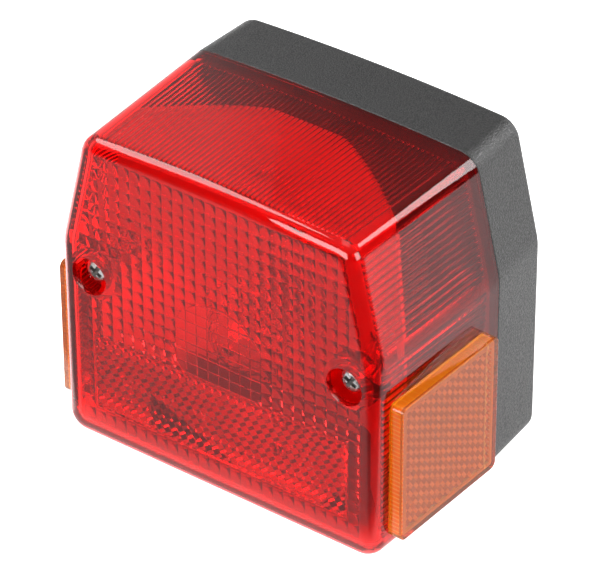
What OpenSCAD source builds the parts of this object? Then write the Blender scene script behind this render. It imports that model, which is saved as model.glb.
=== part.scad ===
// Rear lamp with stop and tail light, red reflex panel and amber side reflectors.
// The origin is on the back face, where the lamp axis meets it. +Z is up and the light
// shines towards -Y. Lengths are millimetres.

/* [Body outline] */
// Width across the front face of the lens
face_w = 103.4; // [101:0.2:108]
// How much wider the lens is at the joint than at its face
lens_flare = 4; // [2:0.2:8]
// How much narrower the back of the base is than the joint
base_flare = 2.4; // [0:0.2:5]
// Height from the bottom to the top corners
body_h = 98.3; // [94:0.1:104]
// Height of the knee, where the sides start to lean in
knee_h = 63.4; // [58:0.1:68]
// How far each side leans in between knee and top
lean = 8.1; // [5:0.1:10]
// Rise of the arched top at its middle
arch_h = 1.3; // [0.6:0.1:2.5]
// Radius of the outline's corners
corner_r = 6.2; // [5.5:0.1:8]
// Radius of the knee
knee_r = 19; // [10:0.5:22]
// Height of the lamp axis above the bottom
axis_h = 45.4; // [44:0.1:48]

/* [Base] */
// Depth of the base from the back face to the joint
base_d = 21.6; // [20.5:0.1:26]
// Thickness of the back wall
back_wall = 2.8; // [2:0.1:3.4]
// Thickness of the side walls below the seal ledge
side_wall = 3.8; // [3.6:0.1:4.6]
// Thickness of the side walls beside the lens tongue
rim_wall = 2; // [1.6:0.1:2.2]
// Round of the edge at the back
back_edge_r = 2.2; // [1:0.1:2.6]
// Height of the stiffening ribs on the back wall
rib_h = 3; // [2:0.1:4]
// Thickness of the stiffening ribs
rib_t = 1.6; // [1.2:0.1:2.2]
// Diameter of the drain holes in the bottom wall
drain_d = 3; // [2:0.1:4]

/* [Lens] */
// Depth of the lens from the joint to the front face
lens_d = 52.5; // [48:0.1:56]
// Thickness of the lens walls
lens_wall = 2.6; // [2.2:0.1:3]
// Round between the front face and the sides
face_round = 4.4; // [3:0.1:5]
// How much higher the lens's bottom is than the base's
lens_lift = 0.45; // [0.2:0.05:0.8]
// Width of the plain band next to the joint
band_w = 4.1; // [3:0.1:6]
// Thickness of the tongue that enters the base
tongue_t = 1.4; // [1.1:0.1:1.6]
// Length of the tongue
tongue_l = 3; // [2.5:0.1:4]
// Pitch of the fine flutes inside the top wall
flute_pitch = 1.52; // [1.2:0.02:2.4]
// Depth of the flutes
flute_depth = 0.4; // [0.2:0.05:0.6]
// Pitch of the ribs inside the side walls
side_rib_pitch = 1.98; // [1.5:0.02:3]
// Depth of the side ribs
side_rib_depth = 0.45; // [0.2:0.05:0.6]

/* [Front optics] */
// Width of one pillow cell
pillow_w = 3.5; // [3:0.1:5]
// Height of one pillow cell
pillow_h = 3.78; // [3:0.1:5]
// Height that a pillow stands out of the inner face
pillow_rise = 0.6; // [0.3:0.1:0.9]
// Distance of the pillows from the edge of the front face
pillow_margin = 5.5; // [5.5:0.1:8]
// Radius of the round eye in front of the bulb
eye_r = 15.4; // [12:0.1:18]
// Width of one ring of the eye
eye_ring = 2.56; // [1.5:0.02:4]
// Width of the reflex panel
reflex_w = 82; // [70:0.5:84]
// Height of the reflex panel
reflex_h = 23.4; // [18:0.1:25]
// Height of the panel's lower edge above the bottom
reflex_base = 11.3; // [9:0.1:14]
// Distance between prism corners along the panel
prism_w = 2.95; // [2.5:0.05:5]
// Distance between prism corners up the panel
prism_h = 2.36; // [2:0.02:4]
// Height of a prism
prism_rise = 0.8; // [0.4:0.1:1.2]

/* [Lens screws] */
// Distance of a lens screw's axis from the side of the front face
screw_inset = 10.2; // [9.8:0.1:11]
// Height of the lens screws above the lamp axis
screw_up = 9.3; // [6:0.1:12]
// Diameter of the screw head
head_d = 7.2; // [6.6:0.1:8]
// Height of the screw head
head_h = 2.5; // [2:0.1:3]
// Diameter of the screw's shank over its thread
shank_d = 3.9; // [3.5:0.1:4.2]
// Length that the screw takes hold in the base
bite = 11; // [8:0.5:14]
// Diameter of the counterbore round the head
counterbore_d = 11.2; // [10:0.1:12]
// Depth of the counterbore
counterbore_depth = 5.2; // [4.5:0.1:6]
// Outer diameter of the boss round the counterbore
boss_d = 15.2; // [14:0.1:16]
// Outer diameter of the long column behind it
column_d = 8.6; // [7.6:0.1:9.4]

/* [Side reflectors] */
// Length of a side reflector along the lamp's depth
side_l = 41.6; // [38:0.1:43]
// Height of a side reflector
side_h = 43.3; // [40:0.1:46]
// Thickness of a side reflector
side_t = 4.2; // [3.4:0.1:5]
// Distance from the lens's front face to the side reflector
side_setback = 5.5; // [5:0.1:7.5]
// Height of its lower edge above the bottom
side_base = 7.1; // [6.5:0.1:10]
// Thickness of the reflector's outer wall and rim
side_skin = 1.3; // [1:0.1:1.8]
// Radius of its corners
side_corner_r = 2; // [1:0.1:4]
// Pitch of its prism cells along the depth
cell_l = 1.86; // [1.6:0.02:4]
// Pitch of its prism cells in height
cell_h = 2.6; // [2:0.05:4]
// Distance between its rim and the prism cells
cell_margin = 2; // [1.5:0.1:4]

/* [Reflector sheet] */
// Distance of the sheet's flat middle from the back face
sheet_y = 33.4; // [32:0.1:36]
// Thickness of the sheet
sheet_t = 1; // [0.8:0.1:1.4]
// Half width of the flat middle
sheet_flat = 11; // [10.6:0.1:13]
// Length that sets how soon the wings sweep forward
sheet_bend = 26.8; // [20:0.2:34]
// Clearance between the sheet and the lens
sheet_gap = 1; // [0.6:0.1:2]
// Diameter of the hole that the bulb's cap goes through
sheet_hole_d = 18.6; // [18.2:0.1:19.4]

/* [Bulb and holder] */
// Diameter of the bulb's metal cap
cap_d = 15; // [14.8:0.1:15.4]
// Length of the cap
cap_l = 17; // [15:0.5:19]
// Diameter of the glass
glass_d = 26.5; // [24:0.1:28]
// Length of the glass in front of the cap
glass_l = 34; // [30:0.5:35]
// Wall of the glass
glass_t = 0.7; // [0.5:0.1:1]
// Distance of the bulb's lower pin from the back face
pin_y = 24; // [23:0.1:25]
// Diameter of the bayonet pins
pin_d = 2; // [1.8:0.1:2.2]
// Difference in height between the two pins
pin_step = 3; // [2.5:0.1:3.2]
// Wall of the holder's shell
shell_t = 0.7; // [0.5:0.1:0.8]
// Distance of the holder's ear holes from the lamp axis
ear_reach = 14.5; // [13.8:0.1:16]
// Diameter of the wire of the contact springs
spring_wire = 0.5; // [0.4:0.1:0.6]
// Width of a push-on terminal
blade_w = 6.3; // [4.8:0.1:6.4]
// Thickness of a terminal
blade_t = 0.8; // [0.5:0.1:1]

/* [Fixings] */
// Distance between the two mounting studs
stud_span = 50; // [46:0.5:56]
// Thread diameter of a stud
stud_d = 5; // [4:1:6]
// Length of a stud behind the back face
stud_l = 16; // [12:1:25]
// Width across the flats of the stud's head
stud_flats = 8; // [7.5:0.1:10]
// Height of the stud's head
stud_head_h = 3.5; // [2.8:0.1:4]
// Diameter of the cable hole through the grommet
cable_d = 6; // [4:0.1:7]
// Diameter of the grommet between its lips
grommet_d = 10; // [9.5:0.1:11]
// Height of the grommet above the bottom
grommet_up = 11.5; // [11:0.1:12]
// Distance of the grommet to the side of the lamp axis
grommet_x = 13; // [11.5:0.1:16]

/* [Hidden] */
$fn = 48;
overlap = 0.5;
fit_gap = 0.25;
thread_gap = 0.02;
rim_w = face_w + lens_flare;
back_w = rim_w - base_flare;
bottom = -axis_h;
joint_y = -base_d;
face_y = joint_y - lens_d;
face_in = face_y + lens_wall;
lens_taper = (rim_w - face_w) / 2 / lens_d;
corner_steps = 6;
ledge_y = joint_y + tongue_l + fit_gap + 1.3;
seal_t = ledge_y - joint_y - tongue_l;
screw_x = face_w / 2 - screw_inset;
tower_top = joint_y + tongue_l - 1;

// Outline of the body

function between(a, b, u) = a + (b - a) * u;

// Half width of the base or the lens at a place along Y
function half_w(y) = y > joint_y
    ? between(back_w, rim_w, -y / base_d) / 2
    : between(rim_w, face_w, (joint_y - y) / lens_d) / 2;

// Points of a round between two edges that meet at c
function round_corner(a, c, b, r, steps) =
    let (
        u = (a - c) / norm(a - c),
        v = (b - c) / norm(b - c),
        half = acos(u * v) / 2,
        middle = c + (u + v) / norm(u + v) * r / sin(half),
        first = c + u * r / tan(half) - middle,
        turn = 180 - 2 * half
    )
    [for (i = [0 : steps])
        let (k = turn * i / steps)
        middle + [
            first[0] * cos(k) - first[1] * sin(k),
            first[0] * sin(k) + first[1] * cos(k)
        ]];

// Right-hand corners of the outline, moved inwards by inset: bottom, knee and top
function corners(w, low, inset) =
    let (slope = atan(lean / (body_h - knee_h)))
    [
        [w - inset, low + inset],
        [w - inset, bottom + knee_h - inset * tan(slope / 2)],
        [
            w - lean + inset * (tan(slope) - 1 / cos(slope)),
            bottom + body_h - inset
        ]
    ];

// Lifts the points of the top edge onto the arch
function arched(p, w) =
    let (
        up = max(0, (p[1] - bottom - knee_h) / (body_h - knee_h)),
        side = min(1, abs(p[0]) / (w - lean))
    )
    [p[0], p[1] + arch_h * (1 - side * side) * min(1, up)];

// Points between a and b, the ends left out, that make count teeth
function teeth(a, b, count, depth) =
    let (
        along = (b - a) / norm(b - a),
        inwards = [-along[1], along[0]]
    )
    [for (i = [1 : 1 : 2 * count - 1])
        a + (b - a) * i / (2 * count) + inwards * (i % 2 == 0 ? 0 : depth)];

// Closed outline at half width w; ribs and flutes are the counts of teeth on its sides and top
function outline(w, low, inset = 0, ribs_low = 0, ribs_high = 0, flutes = 8, rib = 0, flute = 0) =
    let (
        c = corners(w, low, inset),
        r = max(0.8, corner_r - inset),
        foot = round_corner([0, c[0][1]], c[0], c[1], r, corner_steps),
        knee = round_corner(c[0], c[1], c[2], knee_r, 4),
        head = round_corner(c[1], c[2], [0, c[2][1]], r, corner_steps),
        foot_end = foot[corner_steps],
        head_end = head[corner_steps],
        lower = teeth(foot_end, knee[0], ribs_low, rib),
        upper = teeth(knee[4], head[0], ribs_high, rib),
        top = teeth(head_end, [-head_end[0], head_end[1]], flutes, flute),
        right = concat(foot, lower, knee, upper, head),
        count = len(right),
        left = [for (i = [0 : count - 1]) [-right[count - 1 - i][0], right[count - 1 - i][1]]]
    )
    [for (p = concat(right, top, left)) arched(p, w)];

// Skin through a list of [y, outline] sections, the rearmost first, with a fan at each end
module loft(sections) {
    count = len(sections[0][1]);
    last = len(sections) - 1;
    hub_z = bottom + body_h / 2;
    points = concat(
        [for (s = sections) for (p = s[1]) [p[0], s[0], p[1]]],
        [[0, sections[0][0], hub_z], [0, sections[last][0], hub_z]]
    );
    hub = len(sections) * count;
    polyhedron(
        points = points,
        faces = concat(
            [for (i = [0 : count - 1]) [i, (i + 1) % count, hub]],
            [for (i = [0 : count - 1]) [last * count + (i + 1) % count, last * count + i, hub + 1]],
            [for (s = [0 : last - 1]) for (i = [0 : count - 1])
                [s * count + (i + 1) % count, s * count + i, (s + 1) * count + i]],
            [for (s = [0 : last - 1]) for (i = [0 : count - 1])
                [(s + 1) * count + (i + 1) % count, s * count + (i + 1) % count, (s + 1) * count + i]]
        ),
        convexity = 4
    );
}

// Block between two places along Y, inset from the body's outline
module core(rear, front, inset, low = bottom) {
    loft([for (y = [rear, front]) [y, outline(half_w(min(0, y)), low, inset)]]);
}

// Turned part along the lamp axis: a profile of [radius, distance in front of the origin]
module turned(profile) {
    rotate([90, 0, 0]) rotate_extrude() polygon(profile);
}

module rod_y(d, rear, front) {
    translate([0, rear, 0]) rotate([90, 0, 0]) cylinder(d = d, h = rear - front);
}

module pair_x(x) {
    for (side = [-1, 1]) translate([side * x, 0, 0]) children();
}

// Base housing

module base_shell() {
    rounds = [for (k = [0 : 22.5 : 90]) [
        -back_edge_r * (1 - cos(k)),
        outline(half_w(0), bottom, back_edge_r * (1 - sin(k)))
    ]];
    difference() {
        loft(concat(rounds, [[joint_y, outline(half_w(joint_y), bottom)]]));
        core(-back_wall, joint_y - overlap, side_wall);
        core(ledge_y, joint_y - overlap, rim_wall);
    }
}

tower_d = column_d + 1.2;
stud_boss_d = stud_flats / cos(30) + 3.4;
stud_boss_h = stud_head_h + 1;
shoulder_d = 1.24 * stud_d;
post_d = 8;
post_z = 24;
post_front = -sheet_y + sheet_t;

module base_ribs() {
    inner_w = half_w(joint_y) * 2 - side_wall;
    intersection() {
        core(-back_wall + overlap, -back_wall - rib_h, side_wall - overlap);
        union() {
            for (z = [-post_z, post_z])
                translate([0, -back_wall, z]) cube([inner_w, 2 * rib_h, rib_t], center = true);
            pair_x(stud_span / 2)
                translate([0, -back_wall, 0]) cube([rib_t, 2 * rib_h, 2 * body_h], center = true);
        }
    }
}

module tower_webs() {
    web_l = half_w(-base_d / 2) - screw_x - side_wall + overlap;
    for (side = [-1, 1])
        translate([side * (screw_x + web_l / 2), (tower_top - back_wall) / 2 + 1, screw_up])
            cube([web_l, -tower_top - back_wall - 2 + 2 * overlap, rib_t], center = true);
}

module base_housing() color("#242326") {
    difference() {
        union() {
            base_shell();
            base_ribs();
            tower_webs();
            translate([0, 0, screw_up]) pair_x(screw_x) rod_y(tower_d, -back_wall + overlap, tower_top);
            pair_x(stud_span / 2)
                rod_y(stud_boss_d, -back_wall + overlap, -back_wall - stud_boss_h);
            for (z = [-post_z, post_z])
                translate([0, 0, z]) rod_y(post_d, -back_wall + overlap, post_front);
        }
        translate([0, 0, screw_up]) pair_x(screw_x)
            rod_y(shank_d + 2 * thread_gap, tower_top + bite + 1.5, tower_top - overlap);
        pair_x(stud_span / 2) {
            rod_y(shoulder_d + 2 * fit_gap, overlap, -back_wall - stud_boss_h);
            translate([0, -back_wall, 0]) rotate([90, 0, 0])
                cylinder(d = (stud_flats + 2 * fit_gap) / cos(30), h = 2 * stud_boss_h, $fn = 6);
        }
        for (z = [-post_z, post_z])
            translate([0, 0, z])
                rod_y(sheet_screw_d + 2 * thread_gap, post_front + sheet_screw_l + 1, post_front - overlap);
        translate([grommet_x, 0, bottom + grommet_up])
            rod_y(grommet_d + 2 * thread_gap, overlap, -back_wall - rib_h - overlap);
        pair_x(0.7 * half_w(0))
            translate([0, -base_d / 2, bottom - overlap]) cylinder(d = drain_d, h = side_wall + 2 * overlap);
    }
}

// Lens

lower_ribs = round((knee_h - 2 * corner_r) / side_rib_pitch);
upper_ribs = round((body_h - knee_h - corner_r) / side_rib_pitch);
flute_count = round((rim_w - 2 * lean - 2 * corner_r) / flute_pitch);
lens_low = bottom + lens_lift;
band_end = joint_y - band_w;
tongue_in = rim_wall + fit_gap;

module lens_outside() {
    rounds = [for (k = [0 : 15 : 90]) [
        face_y + face_round * (1 - sin(k)),
        outline(half_w(face_y + face_round * (1 - sin(k))), lens_low, face_round * (1 - cos(k)))
    ]];
    loft(concat([[joint_y, outline(half_w(joint_y), lens_low)]], rounds));
}

module lens_cavity() {
    front_round = face_round - lens_wall + 0.6;
    fluted_end = face_in + front_round;
    loft([for (y = [band_end, fluted_end]) [
        y,
        outline(half_w(y), lens_low, lens_wall, lower_ribs, upper_ribs, flute_count,
            side_rib_depth, flute_depth)
    ]]);
    rounds = [for (k = [0 : 22.5 : 90]) [
        face_in + front_round * (1 - sin(k)),
        outline(half_w(fluted_end), lens_low,
            lens_wall + side_rib_depth + front_round * (1 - cos(k)))
    ]];
    loft(concat([[fluted_end + overlap, rounds[0][1]]], rounds));
    core(joint_y + overlap, band_end - overlap, tongue_in + tongue_t);
}

module tongue() {
    difference() {
        core(joint_y + tongue_l, joint_y - overlap, tongue_in);
        core(joint_y + tongue_l + overlap, joint_y - 2 * overlap, tongue_in + tongue_t);
    }
}

// Profile of a row of flat-topped bumps along a line
function bumps(count, pitch, rise, flat) = concat(
    [[-count * pitch / 2, -overlap]],
    [for (i = [0 : count - 1]) for (p = flat > 0
        ? [[0, 0], [(1 - flat) / 2, rise], [(1 + flat) / 2, rise]]
        : [[0, 0], [1 / 2, rise]])
        [(i - count / 2 + p[0]) * pitch, p[1]]],
    [[count * pitch / 2, 0], [count * pitch / 2, -overlap]]
);

// Crossed rows of bumps on a wall that faces +Y, round the middle of a w by h field
module bump_field(w, h, pitch_w, pitch_h, rise, flat) {
    across = ceil(w / pitch_w);
    up = ceil(h / pitch_h);
    intersection() {
        translate([0, 0, -up * pitch_h / 2])
            linear_extrude(up * pitch_h) polygon(bumps(across, pitch_w, rise, flat));
        translate([-across * pitch_w / 2, 0, 0]) rotate([0, 90, 0])
            linear_extrude(across * pitch_w) polygon(bumps(up, pitch_h, rise, flat));
    }
}

panel_gap = 1.4;
pillow_low = bottom + reflex_base + reflex_h + panel_gap;
pillow_top = bottom + body_h - pillow_margin;
screw_clear = boss_d + 1;

module pillows() {
    middle = (pillow_low + pillow_top) / 2;
    difference() {
        intersection() {
            translate([0, face_in, middle])
                bump_field(face_w - 2 * pillow_margin, pillow_top - pillow_low,
                    pillow_w, pillow_h, pillow_rise, 0.56);
            core(face_in + 2, face_in - 1, pillow_margin);
        }
        rod_y(2 * eye_r, face_in + 2, face_in);
        translate([0, 0, screw_up]) pair_x(screw_x) rod_y(screw_clear, face_in + 2, face_in);
    }
}

module eye() {
    rings = floor(eye_r / eye_ring);
    translate([0, face_in, 0]) turned(concat(
        [[0, overlap], [0, -pillow_rise]],
        [for (i = [0 : rings - 1]) for (p = [[0.7, -pillow_rise], [1, 0]]) [(i + p[0]) * eye_ring, p[1]]],
        [[rings * eye_ring, overlap]]
    ));
}

// Rhombic prisms made by two crossed rows of ridges
module reflex_panel() {
    tilt = atan(prism_h / prism_w);
    pitch = prism_w * sin(tilt);
    reach = reflex_w * sin(tilt) + reflex_h * cos(tilt);
    count = 2 * ceil(reach / pitch / 2);
    middle = bottom + reflex_base + reflex_h / 2;
    translate([0, face_in, middle]) intersection() {
        cube([reflex_w, 4, reflex_h], center = true);
        ridges(tilt, count, pitch);
        ridges(-tilt, count, pitch);
    }
}

module ridges(tilt, count, pitch) {
    length = reflex_w + reflex_h;
    rotate([0, tilt, 0]) rotate([0, 90, 0]) translate([0, 0, -length / 2])
        linear_extrude(length) polygon(bumps(count, pitch, prism_rise, 0));
}

module screw_bosses() {
    translate([0, 0, screw_up]) pair_x(screw_x) {
        rod_y(boss_d, face_y + counterbore_depth + lens_wall, face_y + 1.2);
        rod_y(column_d, tower_top, face_y + counterbore_depth);
    }
}

module lens() color([0.78, 0.05, 0.07, 0.85]) {
    difference() {
        union() {
            difference() {
                lens_outside();
                lens_cavity();
            }
            tongue();
            pillows();
            eye();
            reflex_panel();
            intersection() {
                screw_bosses();
                union() {
                    lens_outside();
                    core(tower_top, joint_y - overlap, side_wall);
                }
            }
        }
        translate([0, 0, screw_up]) pair_x(screw_x) {
            rod_y(counterbore_d, face_y + counterbore_depth, face_y - overlap);
            rod_y(shank_d + 2 * fit_gap, tower_top + overlap, face_y);
        }
    }
}

module lens_seal() color("#3a3a3c") {
    inner = side_wall - 0.2;
    difference() {
        core(ledge_y, ledge_y - seal_t, rim_wall + 0.1);
        core(ledge_y + overlap, ledge_y - seal_t - overlap, inner);
    }
}

// Cross-recess screw with its head's seat at y = 0, head towards -Y
module cross_screw(head, height, shank, length) {
    recess = head * 0.62;
    slot = head * 0.15;
    difference() {
        union() {
            turned([
                [0, 0], [head / 2, 0], [head / 2, height * 0.55], [head * 0.44, height * 0.8],
                [head * 0.3, height * 0.96], [0, height]
            ]);
            rotate([-90, 0, 0]) cylinder(d = shank, h = length - shank * 0.8);
            translate([0, length - shank * 0.8, 0]) rotate([-90, 0, 0])
                cylinder(d1 = shank, d2 = shank * 0.4, h = shank * 0.8);
        }
        for (turn = [0, 90]) rotate([0, turn + 30, 0])
            translate([-recess / 2, -height - overlap, -slot / 2])
                cube([recess, height * 0.62 + overlap, slot]);
    }
}

module lens_screws() color("#c9ccd0") {
    seat = face_y + counterbore_depth;
    translate([0, seat, screw_up]) pair_x(screw_x)
        cross_screw(head_d, head_h, shank_d, tower_top + bite - seat);
}

// Side reflectors

side_turn = atan(lens_taper);
glue = 0.1;
cell_floor = 0.1;

module side_reflector() {
    front = face_y + side_setback;
    across = side_l - 2 * (side_skin + cell_margin);
    up = side_h - 2 * (side_skin + cell_margin);
    wall_x = half_w(front) + glue / cos(side_turn);
    translate([wall_x, front, bottom + side_base]) rotate([0, 0, -side_turn])
        translate([0, side_l / 2, side_h / 2]) {
            difference() {
                rotate([0, 90, 0]) linear_extrude(side_t) rounded_plate(side_h, side_l, side_corner_r);
                translate([-overlap, 0, 0]) rotate([0, 90, 0])
                    linear_extrude(side_t - side_skin + overlap)
                        rounded_plate(side_h - 2 * side_skin, side_l - 2 * side_skin,
                            max(0.4, side_corner_r - side_skin));
            }
            translate([side_t - side_skin - cell_floor, 0, 0]) rotate([0, 0, 90])
                bump_field(across, up, cell_l, cell_h, cell_l / 2, 0);
        }
}

// Rectangle with round corners
module rounded_plate(w, h, r) {
    square([w - 2 * r, h], center = true);
    square([w, h - 2 * r], center = true);
    for (x = [-1, 1], y = [-1, 1]) translate([x * (w / 2 - r), y * (h / 2 - r)]) circle(r);
}

module right_side_reflector() color([1, 0.5, 0.1, 0.9]) side_reflector();

module left_side_reflector() color([1, 0.5, 0.1, 0.9]) mirror([1, 0, 0]) side_reflector();

// Reflector sheet: flat in the middle, with two wings that sweep forward

sheet_screw_d = 3;
sheet_screw_l = 8;
sheet_head_d = 1.87 * sheet_screw_d;
sheet_head_h = 0.67 * sheet_screw_d;

// How far the face of a wing lies in front of the flat middle
function wing(x) = sqrt(sheet_bend * sheet_bend + x * x)
    - sqrt(sheet_bend * sheet_bend + sheet_flat * sheet_flat);

// Depth of the sheet along Y, which grows where the wing is steep
function sheet_depth(x) = x > sheet_flat
    ? sheet_t * sqrt(1 + x * x / (sheet_bend * sheet_bend + x * x))
    : sheet_t;

module reflector_sheet() color("#d9dcdf") {
    steps = 12;
    reach = half_w(joint_y);
    wing_xs = [for (i = [0 : steps]) between(sheet_flat, reach, i / steps)];
    xs = concat([for (i = [steps : -1 : 0]) -wing_xs[i]], wing_xs);
    face = [for (x = xs) [x, -sheet_y - wing(abs(x))]];
    back = [for (i = [len(xs) - 1 : -1 : 0]) face[i] + [0, sheet_depth(abs(xs[i]))]];
    difference() {
        intersection() {
            translate([0, 0, -body_h]) linear_extrude(2 * body_h) polygon(concat(face, back));
            core(joint_y - overlap, face_in, lens_wall + side_rib_depth + sheet_gap, lens_low);
        }
        rod_y(sheet_hole_d, 0, face_in);
        for (z = [-ear_reach, ear_reach]) translate([0, 0, z]) rod_y(rivet_d + 2 * thread_gap, 0, face_in);
        for (z = [-post_z, post_z]) translate([0, 0, z]) rod_y(sheet_screw_d + 2 * fit_gap, 0, face_in);
        translate([0, 0, screw_up]) pair_x(screw_x) rod_y(column_d + 2 * sheet_gap, 0, face_y);
    }
}

module sheet_screws() color("#c9ccd0") {
    for (z = [-post_z, post_z])
        translate([0, -sheet_y, z]) cross_screw(sheet_head_d, sheet_head_h, sheet_screw_d, sheet_t + sheet_screw_l);
}

// Bulb holder

shell_in = cap_d / 2 + 0.15;
shell_out = shell_in + shell_t;
flange_y = -sheet_y + sheet_t;
contact_y = -pin_y + 0.56 * cap_d;
disc_t = 1.8;
end_plate_t = 1.6;
end_y = -back_wall - 3;
rivet_d = 3;
rivet_foot = 0.7;
contact_x = 0.215 * cap_d;
plunger_d = 0.147 * cap_d;
tail_d = 2;
tail_foot = 0.6;
blade_hole_d = 0.28 * blade_w;
end_proud = 0.5;

flange_r = shell_out + 2.65;
ear_r = 1.4 * rivet_d;

module ears(thickness) {
    rotate([-90, 0, 0]) linear_extrude(thickness) {
        circle(flange_r);
        for (side = [-1, 1]) {
            translate([-ear_r, side > 0 ? 0 : -ear_reach]) square([2 * ear_r, ear_reach]);
            translate([0, side * ear_reach]) circle(ear_r);
        }
    }
}

// J-shaped slots for the bayonet pins, which run back from the mouth and then sideways
module pin_slots() {
    wide = pin_d + 0.5;
    for (side = [-1, 1]) {
        seat = side > 0 ? -pin_y : -pin_y + pin_step;
        translate([-wide / 2 - 1.6, flange_y - overlap, side > 0 ? 0 : -shell_out - overlap])
            cube([wide, seat + 0.4 + wide / 2 - flange_y + overlap, shell_out + overlap]);
        translate([-wide / 2 - 1.6, seat - wide / 2, side > 0 ? 0 : -shell_out - overlap])
            cube([wide + 1.6, wide, shell_out + overlap]);
    }
}

module holder_shell() color("#b9bcc0") {
    difference() {
        union() {
            translate([0, flange_y, 0]) ears(shell_t);
            rod_y(2 * shell_out, end_y - end_proud, flange_y);
        }
        rod_y(2 * shell_in, end_y + overlap, flange_y - overlap);
        pin_slots();
        for (z = [-ear_reach, ear_reach])
            translate([0, 0, z]) rod_y(rivet_d + 2 * thread_gap, flange_y + 2, flange_y - overlap);
    }
}

module holder_rivets() color("#c2b48a") {
    for (z = [-ear_reach, ear_reach]) translate([0, 0, z]) {
        rod_y(rivet_d, flange_y + shell_t, -sheet_y);
        translate([0, -sheet_y, 0])
            turned([
                [0, 0], [0.87 * rivet_d, 0], [0.8 * rivet_d, 0.2 * rivet_d],
                [0.5 * rivet_d, 0.4 * rivet_d], [0, 0.47 * rivet_d]
            ]);
        rod_y(1.53 * rivet_d, flange_y + shell_t + rivet_foot, flange_y + shell_t);
    }
}

module contact_disc() color("#6b3f22") {
    difference() {
        rod_y(2 * shell_in - 0.3, contact_y + 0.3 + disc_t, contact_y + 0.3);
        pair_x(contact_x) rod_y(plunger_d + 2 * thread_gap, 0, contact_y - 2);
    }
}

module contact_plungers() color("#c9a24a") {
    pair_x(contact_x) {
        translate([0, contact_y + 0.3, 0]) turned([[0, 0], [2, 0], [1.7, 0.2], [0, 0.28]]);
        rod_y(plunger_d, contact_y + 0.3 + disc_t + 2, contact_y + 0.3);
    }
}

// One coil spring behind each plunger, between the disc and the end plate
module contact_springs() color("#9a9da1") {
    rear = end_y - end_plate_t;
    front = contact_y + 0.3 + disc_t;
    coil_r = plunger_d / 2 + 0.1 + spring_wire / 2;
    turns = 4.5;
    steps = 12;
    sides = 6;
    travel = rear - front - spring_wire;
    rings = [for (i = [0 : turns * steps])
        let (a = 360 * i / steps, y = front + spring_wire / 2 + travel * i / (turns * steps))
        [for (k = [0 : sides - 1])
            let (r = coil_r + spring_wire / 2 * cos(360 * k / sides))
            [r * cos(a), y + spring_wire / 2 * sin(360 * k / sides), r * sin(a)]]];
    last = (len(rings) - 1) * sides;
    pair_x(contact_x) polyhedron(
        points = [for (ring = rings) each ring],
        faces = concat(
            [[for (k = [0 : sides - 1]) k]],
            [[for (k = [sides - 1 : -1 : 0]) last + k]],
            [for (i = [0 : len(rings) - 2]) for (k = [0 : sides - 1])
                [
                    i * sides + k,
                    (i + 1) * sides + k,
                    (i + 1) * sides + (k + 1) % sides,
                    i * sides + (k + 1) % sides
                ]]
        )
    );
}

module holder_end_plate() color("#6b3f22") {
    difference() {
        rod_y(2 * shell_in - 2 * thread_gap, end_y, end_y - end_plate_t);
        pair_x(contact_x) rod_y(tail_d + 2 * thread_gap, end_y + overlap, end_y - end_plate_t - overlap);
    }
}

// Push-on terminal: a tail riveted through the end plate and a blade that runs up
module terminal() {
    reach = shell_out + 1.4 * blade_w;
    corner = 0.22 * blade_w;
    difference() {
        translate([contact_x - blade_w / 2, end_y, -tail_d]) cube([blade_w, blade_t, reach + tail_d]);
        translate([contact_x, 0, reach - blade_w / 2]) rod_y(blade_hole_d, end_y + 2 * blade_t, end_y - overlap);
        for (side = [-1, 1])
            translate([contact_x + side * blade_w / 2, end_y, reach]) rotate([0, 45, 0])
                cube([corner, 4 * blade_t, corner], center = true);
    }
    translate([contact_x, 0, 0])
        rod_y(tail_d, end_y + overlap / 2, end_y - end_plate_t - tail_foot);
}

module tail_terminal() color("#c9a24a") terminal();

module stop_terminal() color("#c9a24a") mirror([0, 0, 1]) mirror([1, 0, 0]) terminal();

// Earth terminal under the lower rivet of the holder, with its blade along X
module earth_terminal() color("#c9a24a") {
    back = flange_y + shell_t + rivet_foot;
    reach = 1.9 * blade_w;
    difference() {
        translate([-blade_w / 2, back, -ear_reach - blade_w / 2]) cube([reach + blade_w / 2, blade_t, blade_w]);
        translate([reach - blade_w / 2, 0, -ear_reach]) rod_y(blade_hole_d, back + 2 * blade_t, back - overlap);
    }
}

// Bulb

cap_rear = contact_y - 0.6;
cap_front = cap_rear - cap_l;
stem_l = 3;
lead_d = 0.6;
wide_lead = 0.15 * glass_d;
near_lead = 0.055 * glass_d;

module bulb_cap() color("#c8b67a") {
    rod_y(cap_d, cap_rear, cap_front);
    intersection() {
        rod_y(2 * (shell_out + 0.6), cap_rear, cap_front);
        for (side = [-1, 1])
            translate([0, side > 0 ? -pin_y : -pin_y + pin_step, side > 0 ? 0 : -cap_d])
                cylinder(d = pin_d, h = cap_d);
    }
}

module bulb_glass() color([0.9, 0.95, 1, 0.5]) {
    ball = glass_d / 2;
    neck = cap_d / 2 - 0.6;
    middle = cap_front - glass_l + ball;
    waist = asin(neck / ball);
    arc = [for (k = [0 : 10 : 180 - waist]) [ball * sin(k), -ball * cos(k)]];
    inner = [for (k = [180 - waist : -10 : 0]) [(ball - glass_t) * sin(k), -(ball - glass_t) * cos(k)]];
    translate([0, middle, 0]) rotate([-90, 0, 0]) rotate_extrude() polygon(concat(
        arc,
        [[neck, cap_front - middle], [0, cap_front - middle], [0, cap_front - middle - stem_l],
            [neck - glass_t, cap_front - middle - stem_l]],
        inner
    ));
}

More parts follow.
